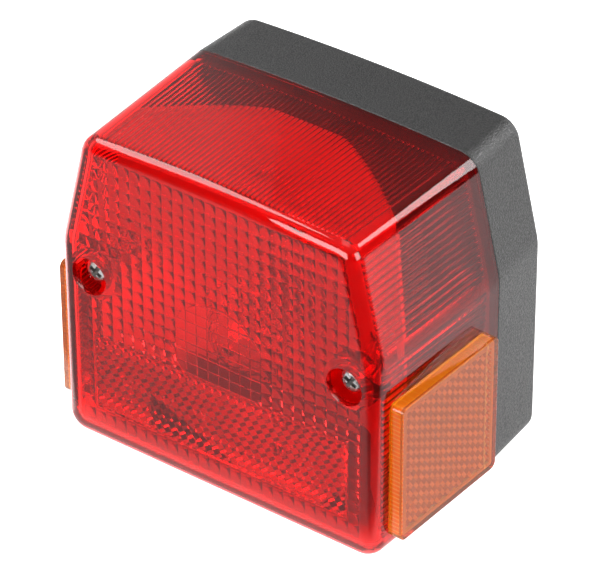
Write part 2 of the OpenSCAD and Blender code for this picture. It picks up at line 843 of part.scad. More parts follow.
// Lead wires, glass bead and the two filaments, which stand in the bulb's glass
module bulb_filaments() color("#8d8f93") {
    foot = cap_front - stem_l;
    long_y = foot - 0.47 * glass_l;
    short_y = foot - 0.35 * glass_l;
    bead_y = foot - 0.15 * glass_l;
    pair_x(wide_lead) rod_y(lead_d, foot, long_y);
    pair_x(near_lead) rod_y(lead_d, foot, short_y);
    translate([0, long_y, 0]) rotate([0, 90, 0])
        cylinder(d = 1.5 * lead_d, h = 2 * wide_lead + lead_d, center = true);
    translate([0, short_y, 0]) rotate([0, 90, 0])
        cylinder(d = 1.5 * lead_d, h = 2 * near_lead + lead_d, center = true);
    translate([0, bead_y, 0]) rotate([0, 90, 0])
        cylinder(d = 2.6 * lead_d, h = 2 * wide_lead + 2.6 * lead_d, center = true);
}

module bulb_contacts() color("#b9bcc0") {
    pair_x(contact_x) rod_y(3, contact_y, cap_rear);
}

// Fixings

module cable_grommet() color("#1b1b1c") {
    lip = 0.68 * grommet_d;
    translate([grommet_x, 0, bottom + grommet_up]) turned([
        [cable_d / 2, 0], [grommet_d / 2, 0], [grommet_d / 2, back_wall],
        [lip, back_wall], [lip - 0.04 * grommet_d, back_wall + 0.16 * grommet_d],
        [cable_d / 2, back_wall + 0.24 * grommet_d]
    ]);
}

// Studs with a hexagon head inside the back wall and a shoulder that goes through it
module mounting_studs() color("#c9ccd0") {
    head_seat = -back_wall;
    shoulder_end = fit_gap;
    pair_x(stud_span / 2) {
        rod_y(shoulder_d, shoulder_end, head_seat);
        rod_y(stud_d, stud_l, shoulder_end - overlap);
        translate([0, head_seat, 0]) rotate([90, 0, 0])
            cylinder(d = stud_flats / cos(30), h = stud_head_h, $fn = 6);
    }
}

base_housing();
lens();
left_side_reflector();
right_side_reflector();
lens_seal();
lens_screws();
reflector_sheet();
sheet_screws();
holder_shell();
holder_rivets();
contact_disc();
contact_plungers();
contact_springs();
holder_end_plate();
tail_terminal();
stop_terminal();
earth_terminal();
bulb_cap();
bulb_glass();
bulb_filaments();
bulb_contacts();
cable_grommet();
mounting_studs();
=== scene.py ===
import math

import bmesh
import bpy
import numpy as np
from mathutils import Matrix, Vector


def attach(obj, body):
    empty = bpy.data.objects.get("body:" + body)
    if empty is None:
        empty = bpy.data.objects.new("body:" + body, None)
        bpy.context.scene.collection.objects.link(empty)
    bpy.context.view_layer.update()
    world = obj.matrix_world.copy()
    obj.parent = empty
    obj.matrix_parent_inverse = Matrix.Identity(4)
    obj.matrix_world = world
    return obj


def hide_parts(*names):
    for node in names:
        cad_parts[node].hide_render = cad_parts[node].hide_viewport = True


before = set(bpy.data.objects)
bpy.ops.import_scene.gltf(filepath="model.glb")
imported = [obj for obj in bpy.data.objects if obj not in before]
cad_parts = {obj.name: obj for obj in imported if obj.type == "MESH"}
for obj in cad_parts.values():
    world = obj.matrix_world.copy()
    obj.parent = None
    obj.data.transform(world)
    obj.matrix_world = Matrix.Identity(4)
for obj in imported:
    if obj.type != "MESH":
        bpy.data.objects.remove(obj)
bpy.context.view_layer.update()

# Studio
# The lamp stands on a pale table in a light tent, with softboxes over its front left corner,
# behind its right side, in front, above and at its right; the tent above is dim.
MM = 0.001
camera_azimuth, camera_elevation, camera_roll = math.radians(36.29), math.radians(35.63), math.radians(-0.23)
camera_distance = 1.17527
camera_shift = (-0.002856, -0.002814)
looked_at = Vector((0, -0.0315, 0.00185))
back_axis = Vector((
    math.sin(camera_azimuth) * math.cos(camera_elevation),
    -math.cos(camera_azimuth) * math.cos(camera_elevation),
    math.sin(camera_elevation),
))
level_right = Vector((0, 0, 1)).cross(back_axis).normalized()
level_up = back_axis.cross(level_right)
right_axis = level_right * math.cos(camera_roll) + level_up * math.sin(camera_roll)
up_axis = level_up * math.cos(camera_roll) - level_right * math.sin(camera_roll)
camera_data = bpy.data.cameras.new("camera")
camera_data.sensor_width = 36
camera_data.lens = 263.77
camera_data.clip_start = 0.05
camera_data.clip_end = 20
camera = bpy.data.objects.new("camera", camera_data)
bpy.context.scene.collection.objects.link(camera)
camera.matrix_world = Matrix.Translation(
    looked_at + right_axis * camera_shift[0] + up_axis * camera_shift[1] + back_axis * camera_distance
) @ Matrix((right_axis, up_axis, back_axis)).transposed().to_4x4()
bpy.context.scene.camera = camera
bpy.context.scene.view_settings.view_transform = "Standard"
bpy.context.scene.view_settings.look = "None"


def direction(azimuth, elevation):
    """Unit vector towards a point of the tent; azimuth 0 is in front of the lamp, 90 on its right."""
    a, e = math.radians(azimuth), math.radians(elevation)
    return Vector((math.sin(a) * math.cos(e), -math.cos(a) * math.cos(e), math.sin(e)))


def softbox(name, azimuth, elevation, distance, width, height, radiance):
    """Rectangular light that faces the lamp; its size doesn't change how bright it looks."""
    data = bpy.data.lights.new(name, "AREA")
    data.shape = "RECTANGLE"
    data.size, data.size_y = width, height
    data.energy = radiance * math.pi * width * height
    lamp = bpy.data.objects.new(name, data)
    bpy.context.scene.collection.objects.link(lamp)
    towards = direction(azimuth, elevation)
    lamp.location = looked_at + towards * distance
    lamp.rotation_mode = "QUATERNION"
    lamp.rotation_quaternion = towards.to_track_quat("Z", "Y")
    return lamp


softbox("overhead_softbox", -71, 54, 1.1, 0.62, 0.34, 7.0)
softbox("rear_softbox", 143, 29, 1.2, 0.5, 0.6, 8.0)
softbox("front_softbox", -2, 14, 1.0, 0.9, 0.5, 9.0)
softbox("top_softbox", 20, 80, 1.0, 0.6, 0.6, 1.5)
softbox("side_softbox", 82, 18, 1.0, 0.5, 0.5, 8.0)


def feed(socket, value):
    """Gives an input a plain value, or links another node's output to it."""
    if isinstance(value, bpy.types.NodeSocket):
        socket.id_data.links.new(value, socket)
    else:
        socket.default_value = value


def made_node(tree, kind, **inputs):
    """New node of a tree; each input that is named gets its value or link."""
    node = tree.nodes.new(kind)
    for label, value in inputs.items():
        feed(node.inputs[label.replace("_", " ")], value)
    return node


def object_place(tree):
    """Where a point of the piece lies."""
    return tree.nodes.new("ShaderNodeTexCoord").outputs["Object"]


def place_axes(place):
    """X, Y and Z of a place or of a direction."""
    return made_node(place.id_data, "ShaderNodeSeparateXYZ", Vector=place).outputs


def place_along(place, towards):
    """How far a place or a direction reaches towards another direction."""
    node = place.id_data.nodes.new("ShaderNodeVectorMath")
    node.operation = "DOT_PRODUCT"
    feed(node.inputs[0], place)
    feed(node.inputs[1], towards)
    return node.outputs["Value"]


def shade_range(source, low, high, to_low=0.0, to_high=1.0):
    """Carries a value over from one range to another and stops at its ends."""
    return made_node(
        source.id_data, "ShaderNodeMapRange", Value=source,
        From_Min=low, From_Max=high, To_Min=to_low, To_Max=to_high
    ).outputs[0]


def shade_math(operation, a, b=0.0):
    """One step of arithmetic, of which a or b is another node's output."""
    tree = (b if isinstance(a, (int, float)) else a).id_data
    node = tree.nodes.new("ShaderNodeMath")
    node.operation = operation
    feed(node.inputs[0], a)
    feed(node.inputs[1], b)
    return node.outputs[0]


def shade_mix(factor, a, b):
    """Colour between two others, each plain or another node's output."""
    node = factor.id_data.nodes.new("ShaderNodeMix")
    node.data_type = "RGBA"
    for label, value in (("Factor", factor), ("A", a), ("B", b)):
        feed(node.inputs[label], (*value, 1) if isinstance(value, tuple) else value)
    return node.outputs["Result"]


# The dim tent gets brighter upwards; paper hangs behind the lamp, and the left wall is lit.
towards_camera = Vector((math.sin(camera_azimuth), -math.cos(camera_azimuth), 0))
world = bpy.data.worlds.new("tent")
bpy.context.scene.world = world
world.use_nodes = True
tent_tree = world.node_tree
tent_tree.nodes.clear()
tent_view = tent_tree.nodes.new("ShaderNodeTexCoord").outputs["Generated"]
tent_height = place_axes(tent_view)["Z"]
tent_above = shade_range(tent_height, 0.35, 1.0, 0.05, 0.4)
paper_side = shade_range(place_along(tent_view, -towards_camera), 0.1, 0.55, 0.0, 0.85)
paper_top = shade_range(tent_height, 0.45, 0.15)
left_wall = shade_range(place_along(tent_view, (-0.985, 0.1, 0.14)), 0.55, 0.8, 0.0, 0.8)
tent_and_paper = shade_math("MAXIMUM", tent_above, shade_math("MULTIPLY", paper_side, paper_top))
tent_light = made_node(
    tent_tree, "ShaderNodeBackground", Color=shade_math("MAXIMUM", tent_and_paper, left_wall)
)
feed(tent_tree.nodes.new("ShaderNodeOutputWorld").inputs["Surface"], tent_light.outputs[0])


def material(name, **values):
    """New material with plain values, and the shader that carries them."""
    made = bpy.data.materials.new(name)
    made.use_nodes = True
    shader = made.node_tree.nodes["Principled BSDF"]
    for socket, value in values.items():
        shader.inputs[socket.replace("_", " ")].default_value = value
    return made, shader


def add_mesh(name, points, faces):
    """New object at the origin, from points in millimetres."""
    mesh = bpy.data.meshes.new(name)
    mesh.from_pydata((np.asarray(points, float) * MM).tolist(), [], faces)
    mesh.validate()
    made = bpy.data.objects.new(name, mesh)
    bpy.context.scene.collection.objects.link(made)
    return made


table_z = -45.4
table_top = add_mesh("table_top", [
    (-700, -700, table_z), (700, -700, table_z), (700, 700, table_z), (-700, 700, table_z)
], [(0, 1, 2, 3)])
table_paint, table_shader = material("table_paint", Roughness=0.9, Emission_Color=(1, 1, 1, 1))
# The white sheet on the table ends short of the camera; what mirrors the room there is dark.
table_place = object_place(table_paint.node_tree)
table_x, table_y, _ = place_axes(table_place)
face_line, left_line, right_line = (-0.086, -0.080), (-0.058, -0.052), (0.05, 0.056)
seen_directly = table_paint.node_tree.nodes.new("ShaderNodeLightPath").outputs["Is Camera Ray"]
before_lamp = shade_range(table_y, *face_line, 0.24, 0.6)
behind_face = shade_range(table_y, *face_line)
left_side = shade_math("MULTIPLY", shade_range(table_x, *left_line, 0.85, 0.0), behind_face)
right_side = shade_range(table_x, *right_line, 0.0, 0.15)
bright_side = shade_math("SUBTRACT", shade_math("MAXIMUM", before_lamp, left_side), right_side)
sheet_end = shade_range(place_along(table_place, towards_camera), 0.125, 0.15, 1.0, 0.05)
# Painted shadow: under the middle of the lamp the table is made dark and stops glowing, where the lamp's
# shade falls; the camera still sees the table white there.
under_width = shade_range(shade_math("ABSOLUTE", table_x), 0.038, 0.048, 1.0, 0.0)
from_middle = shade_math("ABSOLUTE", shade_math("ADD", table_y, 0.035))
under_depth = shade_range(from_middle, 0.025, 0.032, 1.0, 0.0)
painted_lamp_shadow = shade_math("MULTIPLY", shade_math("MULTIPLY", under_width, under_depth), 0.96)
outside_lamp_shadow = shade_math("SUBTRACT", 1.0, painted_lamp_shadow)
whiteness = shade_math("MULTIPLY", shade_math("MULTIPLY", bright_side, sheet_end), outside_lamp_shadow)
table_white = shade_math("MAXIMUM", whiteness, shade_math("MULTIPLY", seen_directly, 0.82))
table_glow = shade_math("MAXIMUM", shade_math("MULTIPLY", whiteness, 1.5), seen_directly)
feed(table_shader.inputs["Base Color"], table_white)
feed(table_shader.inputs["Emission Strength"], table_glow)
table_top.data.materials.append(table_paint)

# A pale card behind the lamp's left shoulder, brighter towards the left, lights its top.
card_distance, card_w, card_below, card_above = 0.42, 0.42, 0.12, 0.2
card_towards = direction(-144, 35)
card_right = Vector((0, 0, 1)).cross(card_towards).normalized() * -1
card_up = card_right.cross(card_towards) * -1
card_middle = Vector((0, -0.06, 0.053)) + card_towards * card_distance
card_corners = [
    (card_middle + card_right * h + card_up * v) / MM
    for h, v in ((-card_w, -card_below), (0, -card_below), (0, card_above), (-card_w, card_above))
]
card = add_mesh("left_card", card_corners, [(0, 1, 2, 3)])
card_paint, card_shader = material(
    "card_paint", Base_Color=(0, 0, 0, 1), Emission_Strength=0.62, Roughness=1.0
)
card_dim = card_right.dot(Vector((0.045, -0.07, 0)))
card_bright = card_right.dot(Vector((-0.05, -0.05, 0)))
card_across = place_along(object_place(card_paint.node_tree), card_right)
feed(card_shader.inputs["Emission Color"], shade_range(card_across, card_dim, card_bright, 0.04))
card.data.materials.append(card_paint)
card.visible_camera = False

# Base housing
# Black grained plastic, moulded in one piece: a box open to the front, with ribs and stud
# seats on its back wall, two posts for the sheet and two towers that take the lens screws.
axis_h = 45.4
bottom = -axis_h
back_w, rim_w, face_w = 105.0, 107.4, 103.4
body_h, knee_h, lean, arch_h = 98.3, 63.4, 8.1, 1.3
corner_r, knee_r = 6.2, 19.0
base_d, lens_d = 21.6, 52.5
joint_y = -base_d
face_y = joint_y - lens_d
back_wall, side_wall, rim_wall, back_edge_r = 2.8, 3.8, 2.0, 2.2


def half_w(y):
    """Half width of base or lens at a place along Y."""
    if y > joint_y:
        return (back_w + (rim_w - back_w) * (-y / base_d)) / 2
    return (rim_w + (face_w - rim_w) * ((joint_y - y) / lens_d)) / 2


def arc_between(before, corner, after, radius, steps):
    """Points of a round between two edges that meet at a corner."""
    u = (before - corner) / np.linalg.norm(before - corner)
    v = (after - corner) / np.linalg.norm(after - corner)
    half = math.acos(float(np.clip(u @ v, -1, 1))) / 2
    middle = corner + (u + v) / np.linalg.norm(u + v) * radius / math.sin(half)
    first = corner + u * radius / math.tan(half) - middle
    turn = math.pi - 2 * half
    angles = np.linspace(0, turn, steps + 1)
    return np.stack([
        middle[0] + first[0] * np.cos(angles) - first[1] * np.sin(angles),
        middle[1] + first[0] * np.sin(angles) + first[1] * np.cos(angles),
    ], 1)


def scalloped(a, b, count, depth, per):
    """Points from a towards b, both left out, with count rounded ribs that stand inwards."""
    n = max(1, count * per)
    i = np.arange(1, n)
    along = (b - a) / np.linalg.norm(b - a)
    inwards = np.array([-along[1], along[0]])
    wave = 1 - (2 * ((i % per) / per) - 1) ** 2
    return a + (b - a) * (i / n)[:, None] + inwards * (wave * depth)[:, None]


def outline(w, low=bottom, inset=0.0, ribs=(1, 1, 1), depths=(0.0, 0.0), per=(6, 6, 12), steps=10):
    """Closed outline: foot, lower side, knee, upper side, head and arched top, then mirrored."""
    slope = math.atan(lean / (body_h - knee_h))
    foot_c = np.array([w - inset, low + inset])
    knee_c = np.array([w - inset, bottom + knee_h - inset * math.tan(slope / 2)])
    head_c = np.array([
        w - lean + inset * (math.tan(slope) - 1 / math.cos(slope)), bottom + body_h - inset
    ])
    r = max(0.8, corner_r - inset)
    foot = arc_between(np.array([0, foot_c[1]]), foot_c, knee_c, r, steps)
    knee = arc_between(foot_c, knee_c, head_c, knee_r, 8)
    head = arc_between(knee_c, head_c, np.array([0, head_c[1]]), r, steps)
    lower = scalloped(foot[-1], knee[0], ribs[0], depths[0], per[0])
    upper = scalloped(knee[-1], head[0], ribs[1], depths[0], per[1])
    top = scalloped(head[-1], head[-1] * [-1, 1], ribs[2], depths[1], per[2])
    right = np.concatenate([foot, lower, knee, upper, head])
    loop = np.concatenate([right, top, right[::-1] * [-1, 1]])
    up = np.clip((loop[:, 1] - bottom - knee_h) / (body_h - knee_h), 0, 1)
    side = np.minimum(1, np.abs(loop[:, 0]) / (w - lean))
    loop[:, 1] += arch_h * (1 - side ** 2) * up
    return loop


def lofted(name, sections):
    """Closed solid through (y, outline) sections, the rearmost first."""
    count = len(sections[0][1])
    points = [np.column_stack([loop[:, 0], np.full(count, y), loop[:, 1]]) for y, loop in sections]
    middle_z = bottom + body_h / 2
    points.append(np.array([[0, sections[0][0], middle_z], [0, sections[-1][0], middle_z]]))
    hub = count * len(sections)
    ring = np.arange(count)
    after = (ring + 1) % count
    last = hub - count
    faces = [(a, hub, b) for a, b in zip(ring.tolist(), after.tolist())]
    faces += [(last + b, hub + 1, last + a) for a, b in zip(ring.tolist(), after.tolist())]
    for s in range(len(sections) - 1):
        low_i, high_i = s * count, (s + 1) * count
        faces += [
            (low_i + a, low_i + b, high_i + b, high_i + a) for a, b in zip(ring.tolist(), after.tolist())
        ]
    return add_mesh(name, np.concatenate(points), faces)


def core(name, rear, front, inset, low=bottom):
    """Solid that keeps one distance inside the walls between two places along Y."""
    return lofted(name, [(y, outline(half_w(min(0, y)), low, inset)) for y in (rear, front)])


def rod(name, d, rear, front, x=0.0, z=0.0, sides=64, d_front=None):
    """Round bar along Y."""
    angles = np.arange(sides) * 2 * math.pi / sides
    ring = np.column_stack([np.sin(angles), np.cos(angles)])
    radius = d / 2, (d_front or d) / 2
    points = [
        np.column_stack([x + ring[:, 0] * radius[k], np.full(sides, y), z + ring[:, 1] * radius[k]])
        for k, y in enumerate((rear, front))
    ]
    points.append(np.array([[x, rear, z], [x, front, z]]))
    faces = []
    for a in range(sides):
        b = (a + 1) % sides
        faces += [(a, b, 2 * sides), (sides + b, sides + a, 2 * sides + 1), (b, a, sides + a, sides + b)]
    return add_mesh(name, np.concatenate(points), faces)


def block(name, low, high):
    """Box between two corners."""
    corners = [(x, y, z) for x in (low[0], high[0]) for y in (low[1], high[1]) for z in (low[2], high[2])]
    return add_mesh(name, corners, [
        (0, 1, 3, 2), (4, 6, 7, 5), (0, 4, 5, 1), (2, 3, 7, 6), (0, 2, 6, 4), (1, 5, 7, 3)
    ])


def combine(kept, operation, others):
    """Joins, cuts or intersects a solid with others, which are used up."""
    for other in others:
        step = kept.modifiers.new("step", "BOOLEAN")
        step.solver = "MANIFOLD"
        step.operation = operation
        step.object = other
        graph = bpy.context.evaluated_depsgraph_get()
        mesh = bpy.data.meshes.new_from_object(kept.evaluated_get(graph))
        kept.modifiers.clear()
        if not mesh.polygons:
            raise RuntimeError(f"{kept.name}: {operation} with {other.name} left nothing")
        old = kept.data
        kept.data = mesh
        bpy.data.meshes.remove(old)
        bpy.data.objects.remove(other)
    return kept


def finished(piece, paint, slot, *nodes, sharp=32):
    """Gives a piece its material, its smooth and sharp edges and its place in the assembly."""
    slots = np.zeros(len(piece.data.polygons), np.int32)
    piece.data.polygons.foreach_get("material_index", slots)
    piece.data.materials.clear()
    for coat in paint if isinstance(paint, tuple) else (paint,):
        piece.data.materials.append(coat)
    piece.data.polygons.foreach_set("material_index", slots)
    piece.data.name = piece.name
    piece.data.shade_smooth()
    piece.data.set_sharp_from_angle(angle=math.radians(sharp))
    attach(piece, "root")
    if nodes:
        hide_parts(*nodes)
    return piece


sheet_y, sheet_t = 33.4, 1.0
post_z, post_d = 24.0, 8.0
tongue_l, fit_gap = 3.0, 0.25
ledge_y = joint_y + tongue_l + fit_gap + 1.3
tower_top = joint_y + tongue_l - 1
screw_x, screw_up = 41.5, 9.3
column_d = 8.6
stud_x, stud_d, stud_flats, stud_head_h = 25.0, 5.0, 8.0, 3.5
rib_h, rib_t = 3.0, 1.6
grommet_x, grommet_up, grommet_d = 13.0, 11.5, 10.0

# A cutting shape runs past the face that it opens, and a joined one into its neighbour.
past = 0.5
mouth_edge = 0.35
drain_d = 3.0
flats_share = math.cos(math.pi / 6)
post_end = sheet_t - sheet_y
inner_face = past - back_wall
rib_face = -back_wall - rib_h
housing = lofted("housing", [
    (-back_edge_r * (1 - math.cos(k)), outline(half_w(0), bottom, back_edge_r * (1 - math.sin(k))))
    for k in np.radians(np.linspace(0, 90, 9))
] + [
    (joint_y + mouth_edge, outline(half_w(joint_y + mouth_edge))),
    (joint_y, outline(half_w(joint_y), bottom, mouth_edge)),
])
combine(housing, "DIFFERENCE", [
    core("inside", -back_wall, joint_y - past, side_wall),
    core("seal_seat", ledge_y, joint_y - past, rim_wall),
])
half_rib, rib_reach = rib_t / 2, 60
stiffeners, *more_stiffeners = [
    block("stiffener", (-rib_reach, rib_face, z - half_rib), (rib_reach, inner_face, z + half_rib))
    for z in (-post_z, post_z)
] + [
    block("stiffener", (x - half_rib, rib_face, -rib_reach), (x + half_rib, inner_face, rib_reach))
    for x in (-stud_x, stud_x)
]
combine(stiffeners, "UNION", more_stiffeners)
combine(stiffeners, "INTERSECT", [
    core("stiffener_limit", -back_wall + 0.45, rib_face - 0.1, side_wall - past)
])
web_l = half_w(-base_d / 2) - screw_x - side_wall + past
seats = []
cuts = []
for side in (-1, 1):
    x = side * screw_x
    web_low, web_high = sorted((x, x + side * web_l))
    seats += [
        rod("tower", column_d + 1.2, inner_face, tower_top, x, screw_up),
        block(
            "web", (web_low, tower_top + 1.2, screw_up - half_rib),
            (web_high, 0.4 - back_wall, screw_up + half_rib)
        ),
        rod(
            "stud_seat", stud_flats / flats_share + 3.4, inner_face, -back_wall - stud_head_h - 1,
            side * stud_x
        ),
        rod("post", post_d, inner_face, post_end, 0, side * post_z),
    ]
    cuts += [
        rod("screw_hole", 3.94, tower_top + 12.5, tower_top - past, x, screw_up),
        rod("stud_hole", 1.24 * stud_d + 0.5, past, -back_wall - stud_head_h - 1.5, side * stud_x),
        rod(
            "stud_socket", (stud_flats + 0.5) / flats_share, -back_wall, -back_wall - 2 * stud_head_h,
            side * stud_x, 0, 6
        ),
        rod("post_hole", 3.04, post_end + 9, post_end - past, 0, side * post_z, 32),
    ]
cuts.append(rod("grommet_hole", grommet_d + 0.04, past, rib_face - past, grommet_x, bottom + grommet_up))
for side in (-1, 1):
    drain = rod("drain", drain_d, drain_d, -drain_d, 0, 0, 32)
    drain_at = (side * 0.7 * half_w(0) * MM, -base_d / 2 * MM, (bottom + drain_d / 2) * MM)
    drain.data.transform(Matrix.Translation(drain_at) @ Matrix.Rotation(math.pi / 2, 4, "X"))
    cuts.append(drain)
combine(housing, "UNION", [stiffeners] + seats)
combine(housing, "DIFFERENCE", cuts)


def effect_group(name, outputs, **inputs):
    """Surface effect that several materials share, with the two ends of its tree."""
    group = bpy.data.node_groups.new(name, "ShaderNodeTree")
    for label, value in inputs.items():
        socket = group.interface.new_socket(label, in_out="INPUT", socket_type="NodeSocketFloat")
        socket.default_value = value
    for label, kind in outputs:
        group.interface.new_socket(label, in_out="OUTPUT", socket_type=kind)
    return group, group.nodes.new("NodeGroupInput").outputs, group.nodes.new("NodeGroupOutput").inputs


def place_group(paint, group, **values):
    """One use of a shared effect in a material."""
    used = paint.node_tree.nodes.new("ShaderNodeGroup")
    used.node_tree = group
    for label, value in values.items():
        feed(used.inputs[label], value)
    return used.outputs


# Moulded grain: fine bumps, as a mask and as a normal.
grain_group, grain_in, grain_out = effect_group(
    "moulded_grain", (("Mask", "NodeSocketFloat"), ("Normal", "NodeSocketVector")),
    Scale=2300.0, Height=0.0003, Strength=1.0
)
grain_noise = made_node(
    grain_group, "ShaderNodeTexNoise", Vector=object_place(grain_group), Scale=grain_in["Scale"], Detail=1.5
)
grain_mask = shade_range(grain_noise.outputs["Fac"], 0.38, 0.68)
grain_bump = made_node(
    grain_group, "ShaderNodeBump", Height=grain_mask, Distance=grain_in["Height"],
    Strength=grain_in["Strength"]
)
feed(grain_out["Mask"], grain_mask)
feed(grain_out["Normal"], grain_bump.outputs["Normal"])
black_plastic, black_shader = material("black_plastic", IOR=1.5, Specular_IOR_Level=0.9)
black_grain = place_group(black_plastic, grain_group, Scale=2200.0, Height=0.00009)
black_colour = shade_mix(black_grain["Mask"], (0.004, 0.004, 0.004), (0.03, 0.029, 0.029))
feed(black_shader.inputs["Base Color"], black_colour)
feed(black_shader.inputs["Roughness"], shade_range(black_grain["Mask"], 0.0, 1.0, 0.5, 0.28))
feed(black_shader.inputs["Normal"], black_grain["Normal"])
finished(housing, black_plastic, "base_plastic", "base_housing")

# Reflector sheet
# Bright aluminium sheet, flat behind the bulb and swept forward in two wings to the sides
# of the lens. It is held by two screws on the housing's posts.
sheet_flat, sheet_bend, sheet_gap, lens_wall = 11.0, 26.8, 1.0, 2.6
side_rib_depth, lens_lift = 0.45, 0.45
lens_low = bottom + lens_lift
face_in = face_y + lens_wall
sheet_xs = np.concatenate([
    -np.linspace(half_w(joint_y), sheet_flat, 60), np.linspace(sheet_flat, half_w(joint_y), 60)
])
wing = np.sqrt(sheet_bend ** 2 + sheet_xs ** 2) - math.hypot(sheet_bend, sheet_flat)
wing_depth = np.where(
    np.abs(sheet_xs) > sheet_flat,
    sheet_t * np.sqrt(1 + sheet_xs ** 2 / (sheet_bend ** 2 + sheet_xs ** 2)), sheet_t
)
sheet_front = np.column_stack([sheet_xs, -sheet_y - wing])
sheet_back = (sheet_front + np.column_stack([np.zeros(len(sheet_xs)), wing_depth]))[::-1]
sheet_loop = np.concatenate([sheet_front, sheet_back])
sheet_n = len(sheet_loop)
sheet_points = [(x, y, z) for z in (-60, 60) for x, y in sheet_loop]
sheet_faces = [(i, (i + 1) % sheet_n, sheet_n + (i + 1) % sheet_n, sheet_n + i) for i in range(sheet_n)]
half_n = len(sheet_xs)
for i in range(half_n - 1):
    j = sheet_n - 1 - i
    sheet_faces += [(i, j, j - 1, i + 1), (sheet_n + i + 1, sheet_n + j - 1, sheet_n + j, sheet_n + i)]
reflector = add_mesh("reflector", sheet_points, sheet_faces)


def turned_outwards(made):
    """Turns the faces of a closed mesh so that they all point outwards."""
    work = bmesh.new()
    work.from_mesh(made.data)
    bmesh.ops.recalc_face_normals(work, faces=work.faces)
    work.to_mesh(made.data)
    work.free()
    return made


def wedge(name, points):
    """Closed solid between two four-sided ends, given as eight points."""
    return add_mesh(name, points, [
        (0, 1, 2, 3), (7, 6, 5, 4), (0, 4, 5, 1), (1, 5, 6, 2), (2, 6, 7, 3), (3, 7, 4, 0)
    ])


def slanted_notch(side):
    """What is cut from the sheet's lower edge beside its middle, along a slanting line."""
    line = [(notch_in, -60), (notch_in, notch_low), (notch_out, notch_high), (notch_out, -60)]
    return turned_outwards(wedge("slanted_notch", [(side * x, y, z) for y in (face_in, 0) for x, z in line]))


notch_in, notch_out, notch_low, notch_high = 9.0, 36.0, -39.2, -22.9
rivet_z = 14.5
combine(reflector, "INTERSECT", [
    core("sheet_limit", joint_y - 0.5, face_in, lens_wall + side_rib_depth + sheet_gap, lens_low)
])
combine(reflector, "DIFFERENCE", [
    *[slanted_notch(side) for side in (-1, 1)],
    rod("bulb_hole", 18.6, 0, face_in),
    *[rod("rivet_hole", 3.04, 0, face_in, 0, z, 32) for z in (-rivet_z, rivet_z)],
    *[rod("screw_hole", 3.5, 0, face_in, 0, z, 32) for z in (-post_z, post_z)],
    *[rod("column_hole", column_d + 2 * sheet_gap, 0, face_y, x, screw_up) for x in (-screw_x, screw_x)],
])
bright_sheet, _ = material(
    "bright_sheet", Base_Color=(0.95, 0.95, 0.95, 1), Metallic=0.55, Roughness=0.28
)
finished(reflector, bright_sheet, "bright_sheet", "reflector_sheet", sharp=20)

# Lens
# Clear red moulding, held on the housing by two long screws: fine flutes inside its top, ribs
# inside its sides, pillows and a reflex panel inside its front, and two screw columns.
face_round, band_w, tongue_t = 4.4, 4.1, 1.4
band_end = joint_y - band_w
tongue_in = rim_wall + fit_gap
flute_pitch, flute_depth, side_rib_pitch = 1.52, 0.4, 1.98
counterbore_d, counterbore_depth, boss_d, shank_d = 11.2, 5.2, 15.2, 3.9
rib_counts = (
    round((knee_h - 2 * corner_r) / side_rib_pitch),
    round((body_h - knee_h - corner_r) / side_rib_pitch),
    round((rim_w - 2 * lean - 2 * corner_r) / flute_pitch),
)
fine = dict(ribs=rib_counts, per=(6, 6, 6))
face_steps = np.radians(np.linspace(0, 90, 12))
lens = lofted("lens_shell", [
    (joint_y, outline(half_w(joint_y), lens_low, 0.15)),
    (joint_y - 0.15, outline(half_w(joint_y), lens_low)),
] + [
    (face_y + face_round * (1 - math.sin(k)),
     outline(half_w(face_y + face_round * (1 - math.sin(k))), lens_low, face_round * (1 - math.cos(k))))
    for k in face_steps
] + [(face_y, outline(half_w(face_y), lens_low, face_round + 0.3))])
inner_round = face_round - lens_wall + 0.6
fluted_end = face_in + inner_round
rib_run_out = 0.9
inner_skin = lens_wall + side_rib_depth
ribbed = dict(fine, depths=(side_rib_depth, flute_depth))
hollow = lofted("hollow", [
    (band_end, outline(half_w(band_end), lens_low, lens_wall, **fine)),
    (band_end - rib_run_out, outline(half_w(band_end), lens_low, lens_wall, **ribbed)),
    (fluted_end, outline(half_w(fluted_end), lens_low, lens_wall, **ribbed)),
])
hollow_front = lofted("hollow_front", [
    (fluted_end + 0.5, outline(half_w(fluted_end), lens_low, inner_skin))
] + [
    (face_in + inner_round * (1 - math.sin(k)),
     outline(half_w(fluted_end), lens_low, inner_skin + inner_round * (1 - math.cos(k))))
    for k in np.radians(np.linspace(0, 90, 8))
])
combine(hollow, "UNION", [
    hollow_front,
    core("hollow_rear", joint_y + 0.5, band_end - 0.2, tongue_in + tongue_t),
])
combine(lens, "DIFFERENCE", [hollow])
tongue = core("tongue", joint_y + tongue_l, joint_y - 0.3, tongue_in)
combine(tongue, "DIFFERENCE", [
    core("tongue_inside", joint_y + tongue_l + 0.5, joint_y - 0.6, tongue_in + tongue_t)
])


def height_field(name, xs, zs, heights, y, depth):
    """Closed slab with a relief that stands towards +Y over the plane y."""
    columns, rows = len(xs), len(zs)
    grid = np.array([(x, y + heights[i, j], z) for i, x in enumerate(xs) for j, z in enumerate(zs)])
    floor = np.array([(x, y - depth, z) for x in xs for z in zs])
    n = columns * rows
    at = lambda i, j: i * rows + j
    faces = []
    for i in range(columns - 1):
        for j in range(rows - 1):
            a, b, c, d = at(i, j), at(i, j + 1), at(i + 1, j + 1), at(i + 1, j)
            faces += [(a, b, c), (a, c, d), (n + d, n + c, n + b, n + a)]
    for i in range(columns - 1):
        for j, order in ((0, 1), (rows - 1, -1)):
            quad = (at(i, j), at(i + 1, j), n + at(i + 1, j), n + at(i, j))
            faces.append(quad[::order])
    for j in range(rows - 1):
        for i, order in ((0, -1), (columns - 1, 1)):
            quad = (at(i, j), at(i, j + 1), n + at(i, j + 1), n + at(i, j))
            faces.append(quad[::order])
    return add_mesh(name, np.concatenate([grid, floor]), faces)


